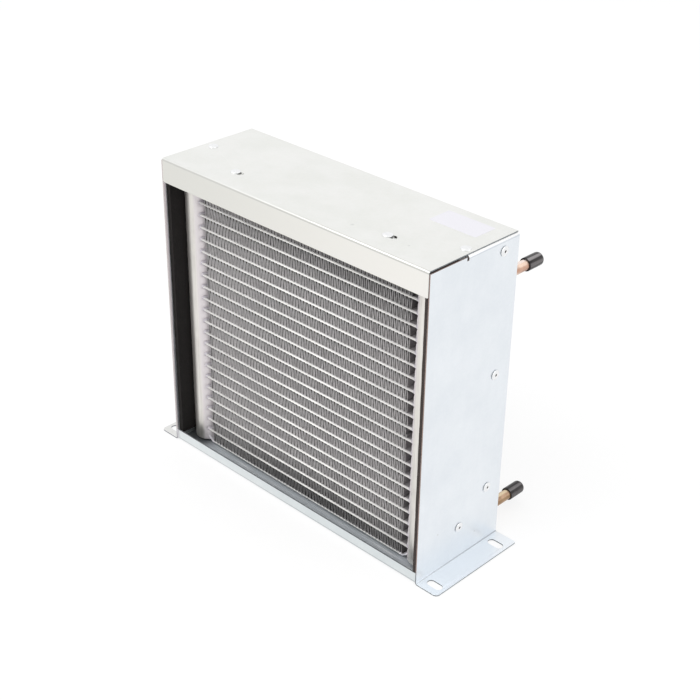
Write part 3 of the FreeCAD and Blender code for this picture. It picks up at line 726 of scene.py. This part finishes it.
def make_fins(material):
    """The folded fins: clipped waves between the tubes, each row out of step with the next."""
    low, high = box_of("fins")
    rise, pitch = rise_and_pitch()
    middle = ((low.x + high.x) / 2 * MM, (low.y + high.y) / 2 * MM, (low.z + rise / 2) * MM)
    growth = Growth("fin_folding")
    width = growth.input("Pack Width", "Float", (high.x - low.x) * MM)
    depth = growth.input("Strip Depth", "Float", (high.y - low.y) * MM)
    fold = growth.input("Fold Width", "Float", FOLD_WIDTH * MM)
    row_pitch = growth.input("Row Pitch", "Float", pitch * MM)
    half_rise = growth.input("Half Rise", "Float", (rise - FIN_STRIP) / 2 * MM)
    strip = growth.input("Strip Thickness", "Float", FIN_STRIP * MM)
    sharpness = growth.input("Crest Sharpness", "Float", CREST_SHARPNESS)
    drift_size = growth.input("Leg Drift", "Float", LEG_DRIFT)
    base = growth.input("Lowest Strip Middle", "Vector", middle)
    colour = growth.input("Finish", "Material", material)

    # A flat strip for each row
    steps = round((high.x - low.x) / FOLD_WIDTH) * FOLD_STEPS + 1
    grid = growth.node("GeometryNodeMeshGrid", {}, {
        "Size X": width, "Size Y": depth, "Vertices X": steps, "Vertices Y": 2,
    }).outputs["Mesh"]
    rows = growth.node("GeometryNodeMeshLine", {"mode": "OFFSET"}, {
        "Count": TUBE_COUNT + 1, "Offset": growth.vector(Z=row_pitch),
    }).outputs["Mesh"]
    placed = growth.node("GeometryNodeInstanceOnPoints", {}, {"Points": rows, "Instance": grid})
    flat = growth.node("GeometryNodeRealizeInstances", {}, {0: placed.outputs[0]}).outputs[0]

    # How far each point has gone round its wave, and how far that lifts it
    position = growth.node("GeometryNodeInputPosition").outputs[0]
    spot = growth.node("ShaderNodeSeparateXYZ", {}, {0: position})
    row = (Value(growth, spot.outputs["Z"]) / row_pitch).math("ROUND")
    waves = Value(growth, spot.outputs["X"]) / fold
    drift = Value(growth, growth.node("ShaderNodeTexNoise", {"noise_dimensions": "2D"}, {
        "Vector": growth.vector(X=waves, Y=row * DRIFT_ROW_STEP), "Scale": DRIFT_SCALE, "Detail": 1.0,
    }).outputs[0])
    round_wave = waves + (row * ROW_SHIFT).math("FRACT") + (drift - 0.5) * drift_size
    angle = round_wave * (2 * math.pi)
    clipped = (angle.math("COSINE") * sharpness).math("MINIMUM", 1.0).math("MAXIMUM", -1.0)

    # The folded strips, with a thickness and a mark for their falling legs
    marked = growth.node("GeometryNodeStoreNamedAttribute", {"data_type": "FLOAT", "domain": "POINT"}, {
        "Geometry": flat, "Name": "falling_leg", "Value": angle.math("SINE"),
    }).outputs[0]
    lift = growth.vector(Z=clipped * half_rise)
    folded = growth.node("GeometryNodeSetPosition", {}, {"Geometry": marked, "Offset": lift}).outputs[0]
    shift = growth.node("GeometryNodeTransform", {}, {"Geometry": folded, "Translation": base}).outputs[0]
    thick = growth.node("GeometryNodeExtrudeMesh", {"mode": "FACES"}, {
        "Mesh": shift, "Offset Scale": strip, "Individual": False,
    }).outputs["Mesh"]
    back = growth.node("GeometryNodeFlipFaces", {}, {"Mesh": shift}).outputs[0]
    joined = growth.node("GeometryNodeJoinGeometry")
    growth.feed(joined.inputs[0], thick)
    growth.feed(joined.inputs[0], back)
    closed = growth.node("GeometryNodeMergeByDistance", {}, {
        "Geometry": joined.outputs[0], "Distance": WELD_DISTANCE * MM,
    })
    painted = growth.node("GeometryNodeSetMaterial", {}, {"Geometry": closed.outputs[0], "Material": colour})
    mesh = growth.grown("fin_pack", bpy.data.meshes.new("fin_seed"), painted.outputs[0])
    piece = add_piece(mesh, CASING, material)
    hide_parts("fins")


def tube_heights():
    """The middle height of every flat tube, and the tubes' half thickness and half depth."""
    low, high = box_of("flat_tubes")
    rise, pitch = rise_and_pitch()
    half = (pitch - rise) / 2
    return [low.z + half + pitch * i for i in range(TUBE_COUNT)], half, (high.y - low.y) / 2


def make_tubes(material):
    """The flat tubes, with round noses."""
    low, high = box_of("flat_tubes")
    heights, half, half_depth = tube_heights()
    middle_y = (low.y + high.y) / 2
    outline = []
    for end in (1, -1):
        for i in range(NOSE_STEPS + 1):
            angle = math.pi * i / NOSE_STEPS - math.pi / 2
            outline.append((end * (half_depth - half + half * math.cos(angle)), end * half * math.sin(angle)))
    sides = (low.x + TUBE_END_GAP, high.x - TUBE_END_GAP)
    shape = skinned([[(x, middle_y + u, v) for u, v in outline] for x in sides], ends=True)
    for face in shape.faces:
        face.smooth = len(face.verts) == 4
    places = [((0, 0, z), (0, 0, 1)) for z in heights]
    row = set_on_points("flat_tube_row", places, as_mesh("flat_tube", shape), material)
    piece = add_piece(row, CASING, material)
    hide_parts("flat_tubes")


def header_place(side):
    """Axis x and y, outer radius, foot and top of a header, from its solid."""
    low, high = box_of("header_right" if side > 0 else "header_left")
    return (low.x + high.x) / 2, (low.y + high.y) / 2, (high.y - low.y) / 2, low.z, high.z


def slot_dip(rise, across, half, half_depth):
    """How far a header is pressed in at a height above a tube's middle and a place across the tube."""
    along = min(1.0, max(0.0, (SLOT_DIP_HEIGHT - abs(rise)) / (SLOT_DIP_HEIGHT - half)))
    beside = min(1.0, max(0.0, (half_depth + SLOT_DIP_SIDE - abs(across)) / SLOT_DIP_FADE))
    return SLOT_DIP * along * along * (3 - 2 * along) * beside * beside * (3 - 2 * beside)


def make_header(node, side, material):
    """A header tube, pressed in around each flat tube, with rounded rims."""
    axis_x, axis_y, radius, foot, top = header_place(side)
    heights, half, half_depth = tube_heights()
    rim_height = HEADER_RIM[-1][0]
    straight = top - foot - 2 * rim_height
    rows = round(straight / HEADER_ROW)
    levels = [(foot + inset, out) for inset, out in HEADER_RIM]
    levels += [(foot + rim_height + straight * (i + 1) / rows, 0.0) for i in range(rows)]
    levels += [(top - inset, out) for inset, out in HEADER_RIM[-2::-1]]
    rings = []
    for z, rim in levels:
        near = min(heights, key=lambda height: abs(height - z))
        ring = []
        for angle in turns(HEADER_SEGMENTS):
            out_x = math.cos(angle) * side
            out_y = math.sin(angle)
            dip = slot_dip(z - near, radius * out_y, half, half_depth) if out_x * side < 0 else 0.0
            reach = radius + rim - dip
            ring.append((axis_x + out_x * reach, axis_y + out_y * reach, z))
        rings.append(ring)
    bore = radius - HEADER_WALL
    for z in (top, foot):
        rings.append([(axis_x + math.cos(angle) * side * bore, axis_y + math.sin(angle) * bore, z)
                      for angle in turns(HEADER_SEGMENTS)])
    shape = skinned(rings, loop=True)
    smooth(shape, 60)
    piece = add_piece(as_mesh(node + "_pressed", shape), CASING, material)
    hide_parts(node)


def fillet_cell(side):
    """The braze fillet around one tube's end at a header, about the tube's middle height."""
    header_x, header_y, radius, foot, top = header_place(side)
    heights, half, half_depth = tube_heights()
    outline = []
    for end in (1, -1):
        for i in range(FILLET_FLATS):
            along = -1 + 2 * (i + 0.5) / FILLET_FLATS
            outline.append((end * along * (half_depth - half), end * half, 0.0, float(end)))
        for i in range(FILLET_NOSE_STEPS + 1):
            angle = math.pi / 2 - math.pi * i / FILLET_NOSE_STEPS
            out_y = end * math.cos(angle)
            out_z = end * math.sin(angle)
            outline.append((end * (half_depth - half) + half * out_y, half * out_z, out_y, out_z))
    rings = []
    for u, v, out_y, out_z in outline:
        ring = []
        for spread, reach in FILLET_SECTION:
            y = u + out_y * spread * 0.5
            face = radius - math.sqrt(radius ** 2 - y * y)
            ring.append((header_x - side * (radius - face + reach), header_y + y, v + out_z * spread))
        rings.append(ring)
    shape = skinned(rings, loop=True)
    for face in shape.faces:
        face.smooth = True
    return as_mesh("braze_fillet", shape)


def make_fillets(material):
    """Braze fillets where the tubes enter the headers."""
    places = [((0, 0, z), (0, 0, 1)) for z in tube_heights()[0]]
    for side, name in ((1, "braze_fillets_right"), (-1, "braze_fillets_left")):
        piece = add_piece(set_on_points(name, places, fillet_cell(side), material), CASING, material)


def make_braze_drops(material):
    """Two set drops of braze at the foot of the coil."""
    shape = bmesh.new()
    for centre, radius in BRAZE_DROPS:
        drop = bmesh.ops.create_icosphere(shape, subdivisions=3, radius=radius * MM)
        for vertex in drop["verts"]:
            place = vertex.co / MM
            swell = 1 + DROP_SWELL * noise.noise(place * DROP_NOISE + Vector(centre))
            vertex.co = (place * Vector(DROP_SQUASH) * swell + Vector(centre)) * MM
    smooth(shape, 80)
    piece = add_piece(as_mesh("braze_drops", shape), CASING, material)


def rivet_mesh(name, profile, *materials):
    """The mesh of one rivet head, whose last material is on the pin's end, if it has one."""
    shape = turned_profile([(0, RIVET_FOOT)] + profile, RIVET_SEGMENTS)
    for face in shape.faces:
        middle = face.calc_center_median()
        inside = math.hypot(middle.x, middle.y) < PIN_RADIUS * MM and middle.z > 0
        face.material_index = len(materials) - 1 if inside else 0
        face.smooth = True
    mesh = as_mesh(name, shape)
    for material in materials:
        mesh.materials.append(material)
    return mesh


def solid_boxes(node):
    """The lowest and highest corners of each separate solid of a node, in millimetres."""
    shape = welded(node)
    seen = set()
    boxes = []
    for first in shape.verts:
        if first in seen:
            continue
        seen.add(first)
        island = [first]
        for vertex in island:
            others = {edge.other_vert(vertex) for edge in vertex.link_edges} - seen
            seen |= others
            island.extend(others)
        corners = [Vector(pick(v.co[i] for v in island) for i in range(3)) / MM for pick in (min, max)]
        boxes.append(corners)
    shape.free()
    return boxes


def make_rivets(head_finish, pin_finish):
    """Every rivet, set where its solid is: soft domes, and blind rivets with a broken pin in their bore."""
    low, high = solid_boxes("side_rivets_right")[0]
    r = (high.z - low.z) / 2
    h = RIVET_HEIGHT
    blind = rivet_mesh("blind_rivet", [
        (2.0, RIVET_FOOT), (2.0, 0.24), (r - 0.6, 0.26), (r - 0.12, 0.36), (r, 0.5), (r - 0.05, 0.66),
        (r - 0.35, 0.82), (r * 0.74, h * 0.8), (r * 0.56, h * 0.93), (1.6, h * 0.99), (1.4, h),
        (1.12, h - 0.08), (0.98, h - 0.3), (0.94, h - 0.8), (0.8, h - 0.92), (0.4, h - 0.82), (0, h - 0.78),
    ], head_finish, pin_finish)
    domed = rivet_mesh("dome_rivet", [
        (r - 0.35, RIVET_FOOT), (r - 0.12, 0.0), (r, 0.12), (r - 0.03, 0.3), (r - 0.3, 0.52),
        (r * 0.78, h * 0.68), (r * 0.6, h * 0.86), (r * 0.46, h * 0.97), (r * 0.25, h * 0.995), (0, h),
    ], head_finish)
    for node, name, source, out in (
        ("side_rivets_right", "blind_rivets_right", blind, Vector((1, 0, 0))),
        ("side_rivets_left", "blind_rivets_left", blind, Vector((-1, 0, 0))),
        ("cover_rivets", "cover_rivets_domed", domed, Vector((0, 0, 1))),
        ("coil_rivets", "coil_rivets_domed", domed, Vector((0, 0, 1))),
    ):
        places = []
        for low, high in solid_boxes(node):
            reach = abs((high - low).dot(out)) / 2 - h
            places.append(((low + high) / 2 + out * reach, out))
        piece = add_piece(set_on_points(name, places, source), CASING)
        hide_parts(node)


def make_sheet(node, piece_name, rounding, sheet_finish, edge_finish):
    """A folded sheet from its solid: cut edges in bare metal, sharp edges slightly rounded."""
    shape = welded(node)
    tree = BVHTree.FromBMesh(shape)
    for face in shape.faces:
        start = face.calc_center_median() - face.normal * 0.01 * MM
        depth = tree.ray_cast(start, -face.normal)[3]
        face.material_index = 1 if depth is None or depth > SHEET_CUT_DEPTH * MM else 0
    bmesh.ops.dissolve_limit(shape, angle_limit=math.radians(0.5), verts=shape.verts, edges=shape.edges,
                             delimit={"MATERIAL"})
    if rounding > 0:
        sharp = [edge for edge in shape.edges if edge.calc_face_angle() > SHARP_EDGE]
        bmesh.ops.bevel(shape, geom=sharp, offset=rounding * MM, offset_type="OFFSET", segments=2,
                        profile=0.5, affect="EDGES", clamp_overlap=False, material=-1)
    for face in shape.faces:
        face.smooth = True
    for edge in shape.edges:
        narrow = all(width_of(face) < FOLD_FACE_WIDTH * MM for face in edge.link_faces)
        edge.smooth = narrow and len(edge.link_faces) == 2 and edge.calc_face_angle(0) < SHARP_EDGE
    mesh = as_mesh(piece_name, shape)
    mesh.materials.append(sheet_finish)
    mesh.materials.append(edge_finish)
    piece = add_piece(mesh, CASING)
    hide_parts(node)


def width_of(face):
    """Area over longest edge."""
    return face.calc_area() / max(edge.calc_length() for edge in face.edges)


def make_cap(node, body, material):
    """A push-on cap: open mouth, thin wall and a round closed end."""
    low, high = box_of(node)
    radius = (high.x - low.x) / 2
    length = high.y - low.y
    bore = radius - CAP_WALL
    end = radius - CAP_TAPER
    profile = [(0, length - CAP_END_WALL), (bore, length - CAP_END_WALL), (bore, 1.0), (bore, 0.25),
               (bore + 0.2, 0.0), (radius - 0.3, 0.0), (radius - 0.06, 0.1), (radius, 0.35), (radius, 3.0),
               (radius - 0.02, length * 0.6), (end, length - CAP_ROUNDING)]
    for i in range(1, CAP_ROUNDING_STEPS):
        angle = math.pi / 2 * i / CAP_ROUNDING_STEPS
        profile.append((end - CAP_ROUNDING * (1 - math.cos(angle)),
                        length - CAP_ROUNDING * (1 - math.sin(angle))))
    profile += [(end - CAP_ROUNDING, length), (0.9, length), (0, length)]
    shape = turned_profile(profile, CAP_SEGMENTS)
    turn = Matrix.Rotation(-math.pi / 2, 4, "X")
    shift = Matrix.Translation(Vector(((low.x + high.x) / 2, low.y, (low.z + high.z) / 2)) * MM)
    bmesh.ops.transform(shape, matrix=shift @ turn, verts=shape.verts)
    smooth(shape, 50)
    piece = add_piece(as_mesh(node + "_moulded", shape), body, material)
    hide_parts(node)


def make_lining(node, side, material):
    """A foam strip beside a header, hollowed around it and notched over the tray's lip, unevenly cut."""
    low, high = box_of(node)
    header_x, header_y, header_radius, foot, top = header_place(side)
    outer, inner = (high.x, low.x) if side > 0 else (low.x, high.x)
    hollow = header_radius + LINING_GAP
    start = header_y - math.sqrt(hollow ** 2 - (inner - header_x) ** 2)
    end_angle = math.asin((high.y - header_y) / hollow)
    first_angle = math.asin((start - header_y) / hollow)
    arc = []
    for i in range(LINING_ARC_STEPS + 1):
        angle = first_angle + (end_angle - first_angle) * i / LINING_ARC_STEPS
        arc.append((header_x + side * hollow * math.cos(angle), header_y + hollow * math.sin(angle)))
    notch_front = max(low.y, LIP_NOTCH_FRONT)
    levels = [(low.z, notch_front), (LIP_NOTCH_TOP, notch_front), (LIP_NOTCH_TOP + 0.02, low.y)]
    steps = round((high.z - LIP_NOTCH_TOP) / LINING_STEP)
    levels += [(LIP_NOTCH_TOP + (high.z - LIP_NOTCH_TOP) * (i + 1) / steps, low.y) for i in range(steps)]
    rings = []
    for z, front in levels:
        outline = [(outer - (outer - inner) * i / LINING_FRONT_STEPS, front, 1.0, 0.0)
                   for i in range(LINING_FRONT_STEPS + 1)]
        outline += [(inner, front + (start - front) * i / LINING_SIDE_STEPS, 0.0, 1.0)
                    for i in range(1, LINING_SIDE_STEPS)]
        outline += [(x, y, 0.0, 1.0) for x, y in arc] + [(outer, high.y, 0.0, 0.0)]
        ring = []
        for x, y, on_front, on_inner in outline:
            wobble = sum(noise.noise(Vector((x, y, z)) * often) * deep for often, deep in LINING_WOBBLE)
            ring.append((x + side * on_inner * (0.05 + abs(wobble) * LINING_SIDE_WOBBLE),
                         y + on_front * (LINING_CUT_SETBACK + wobble), z))
        rings.append(ring)
    shape = skinned(rings, ends=True)
    smooth(shape, 50)
    piece = add_piece(as_mesh(node + "_cut", shape), CASING, material)
    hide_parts(node)


def make_label(material):
    """A blank white label on the cover, with soft corners."""
    top = box_of("top_cover")[1].z
    half_x, half_y = (size / 2 for size in LABEL_SIZE)
    middle_x, middle_y = (start + size / 2 for start, size in zip(LABEL_LOW, LABEL_SIZE))
    outline = []
    for quarter, (side_x, side_y) in enumerate(((1, -1), (1, 1), (-1, 1), (-1, -1))):
        for i in range(LABEL_CORNER_STEPS + 1):
            angle = math.radians(90 * (quarter - 1 + i / LABEL_CORNER_STEPS))
            outline.append(Vector((side_x * (half_x - LABEL_CORNER) + LABEL_CORNER * math.cos(angle),
                                   side_y * (half_y - LABEL_CORNER) + LABEL_CORNER * math.sin(angle))))
    rings = []
    for inset, share in LABEL_LEVELS:
        inner = [point - point.normalized() * inset for point in outline]
        z = top + LABEL_THICKNESS * share
        rings.append([(middle_x + point.x, middle_y + point.y, z) for point in inner])
    piece = add_piece(as_mesh("blank_label", skinned(rings, ends=True)), CASING, material)


def place_camera():
    """The camera at the photograph's place, angle and roll."""
    azimuth = math.radians(CAMERA_AZIMUTH)
    elevation = math.radians(CAMERA_ELEVATION)
    roll = math.radians(CAMERA_ROLL)
    flat = math.cos(elevation)
    back = Vector((math.sin(azimuth) * flat, -math.cos(azimuth) * flat, math.sin(elevation)))
    level = Vector((math.cos(azimuth), math.sin(azimuth), 0))
    upright = back.cross(level)
    right = level * math.cos(roll) + upright * math.sin(roll)
    up = upright * math.cos(roll) - level * math.sin(roll)
    data = bpy.data.cameras.new("photo_camera")
    data.lens = CAMERA_LENS
    data.sensor_width = 36.0
    data.clip_start = 0.01
    data.clip_end = 50.0
    camera = bpy.data.objects.new("photo_camera", data)
    turn = Matrix((right, up, back)).transposed().to_4x4()
    camera.matrix_world = Matrix.Translation(Vector(CAMERA_PLACE) * MM) @ turn
    bpy.context.scene.collection.objects.link(camera)
    bpy.context.scene.camera = camera


def floor_finish():
    """White floor to the camera and to reflections, with the part's shadow left in."""
    finish = Finish("studio_floor", roughness=0.9, specular=0.0)
    finish.set("Base Color", "ffffff")
    path = finish.node("ShaderNodeLightPath")
    seen = Value(finish, path.outputs["Is Camera Ray"])
    mirrored = Value(finish, path.outputs["Is Glossy Ray"])
    level = 1.0 + seen * (FLOOR_CAMERA_LEVEL - 1.0)
    shine = finish.node("ShaderNodeEmission", {}, {"Color": "ffffff", "Strength": level})
    share = seen * FLOOR_CAMERA_SHARE + mirrored * FLOOR_MIRROR_SHARE
    mixer = finish.node("ShaderNodeMixShader", {}, {
        0: share, 1: finish.shader.outputs["BSDF"], 2: shine.outputs["Emission"],
    })
    finish.feed(finish.output.inputs["Surface"], mixer.outputs["Shader"])
    return finish.material


def surround():
    """An even surround: white to the camera and to reflections, a little under white as light."""
    world = bpy.data.worlds.new("studio_surround")
    world.use_nodes = True
    nodes = Nodes(world.node_tree)
    nodes.tree.nodes.clear()
    path = nodes.node("ShaderNodeLightPath")
    seen = Value(nodes, path.outputs["Is Camera Ray"])
    for ray in ("Is Glossy Ray", "Is Transmission Ray"):
        seen = seen.math("MAXIMUM", path.outputs[ray])
    level = seen * (1.0 - SURROUND_LIGHT) + SURROUND_LIGHT
    backdrop = nodes.node("ShaderNodeBackground", {}, {"Color": "ffffff", "Strength": level})
    nodes.node("ShaderNodeOutputWorld", {}, {"Surface": backdrop.outputs[0]})
    bpy.context.scene.world = world


def build_studio():
    """A pale floor, an even white surround and two soft lamps."""
    shape = bmesh.new()
    bmesh.ops.create_grid(shape, x_segments=1, y_segments=1, size=FLOOR_SIZE * MM)
    mesh = as_mesh("studio_floor", shape)
    mesh.materials.append(floor_finish())
    floor = bpy.data.objects.new("studio_floor", mesh)
    floor.location.z = -FLOOR_DROP * MM
    bpy.context.scene.collection.objects.link(floor)
    surround()
    for name, place, watts, size in LAMPS:
        data = bpy.data.lights.new(name, "AREA")
        data.shape = "SQUARE"
        data.size = size * MM
        data.energy = watts
        lamp = bpy.data.objects.new(name, data)
        lamp.location = Vector(place) * MM
        lamp.rotation_euler = (Vector(LAMP_TARGET) - Vector(place)).to_track_quat("-Z", "Y").to_euler()
        bpy.context.scene.collection.objects.link(lamp)


# Most touches on the sheets are painted light and shade, noted at their places above
panel_finish = zinc_sheet("panel_zinc", "edf1f5", "e4e9ee", (
    ("f1f6fb", 1.0, FEET), ("e4e4e2", 1.0, LEFT_FOOT), ("9aa1a8", 0.75, FOOT_FOLDS),
    ("ffffff", 1.0, PANEL_TOP_FOLDS), ("b9bfc6", 0.45, UNDER_TOP_FOLDS), ("fdf4f6", 1.0, inner_strip),
), PANEL_DENTS, dull=inner_strip)
cover_finish = zinc_sheet("cover_zinc", "f0f0ee", "e8e9e5", (
    ("f3f1ec", 1.0, COVER_LIP), ("dadad4", 0.8, COVER_LIP_LEFT), ("d6d6d1", 0.8, COVER_FOLD_SHINE),
    ("d2d2cd", 1.0, COVER_FOLD_SHADE),
), COVER_DENTS)
tray_finish = zinc_sheet("tray_zinc", "e2e7e8", "d7dddf", (
    ("ccd2d7", 1.0, TRAY_FLOOR), ("fcfdfe", 0.6, tray_streaks), ("3a3c3f", 0.85, TRAY_LEFT_END),
    ("a6acaf", 0.6, TRAY_HEM), ("f6f8f8", 0.2, TRAY_LIP_LEFT),
), metallic=0.9, dull=TRAY_FLOOR)
# The bracket carries the painted shade of the slot's gap
bracket_finish = zinc_sheet("bracket_zinc", "f3f3f1", "eaebe8", (("231d1b", 1.0, slot_shade),))
cut_steel = cut_edge_finish()
foam = foam_finish()
tubes = tube_finish()
plates = plate_finish()
braze = braze_finish()
fin_metal = fin_finish()
header_metal = header_finish()
rivet_metal = grained_finish("rivet_aluminium", "e4e6e8", "fbfbfb", 1.4, 0.26, uneven=0.1, metallic=0.8)
pin_steel = grained_finish("rivet_pin_steel", "5a5755", "8a8683", 0.5, 0.5, metallic=0.6)
copper = copper_finish()
cap_plastic = cap_finish()
label_paper = grained_finish("label_paper", "e3e2e8", "eae9ef", 0.8, 0.6, relief=0.02)

for node, material in (
    ("header_plugs", header_metal),
    ("header_baffle", header_metal),
    ("header_pads", foam),
    ("inlet_stub", copper),
    ("outlet_stub", copper),
    ("stub_collars", header_metal),
):
    dress(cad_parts[node].data, material)
for node, name, slot, rounding, finish in (
    ("side_panel_left", "left_panel_folded", "zinc_sheet", SHEET_EDGE_ROUNDING, panel_finish),
    ("side_panel_right", "right_panel_folded", "zinc_sheet", SHEET_EDGE_ROUNDING, panel_finish),
    ("top_cover", "cover_folded", "cover_white", SHEET_EDGE_ROUNDING, cover_finish),
    ("base_tray", "tray_folded", "tray_sheet", 0, tray_finish),
    ("fan_shroud", "shroud_drawn", "tray_sheet", 0, tray_finish),
    ("coil_side_plate_bottom", "lower_side_plate", "coil_tube", 0, plates),
    ("coil_side_plate_top", "upper_side_plate", "coil_tube", 0, plates),
    ("coil_bracket_left", "left_bracket_folded", "tray_sheet", 0, bracket_finish),
    ("coil_bracket_right", "right_bracket_folded", "tray_sheet", 0, bracket_finish),
):
    make_sheet(node, name, rounding, finish, plates if slot == "coil_tube" else cut_steel)
make_fins(fin_metal)
make_tubes(tubes)
make_header("header_right", 1, header_metal)
make_header("header_left", -1, header_metal)
make_fillets(braze)
make_braze_drops(braze)
make_rivets(rivet_metal, pin_steel)
make_cap("pipe_cap_inlet", INLET_CAP, cap_plastic)
make_cap("pipe_cap_outlet", OUTLET_CAP, cap_plastic)
make_lining("side_lining_left", -1, foam)
make_lining("side_lining_right", 1, foam)
make_label(label_paper)
place_camera()
build_studio()

scene = bpy.context.scene
scene.view_settings.view_transform = "Standard"
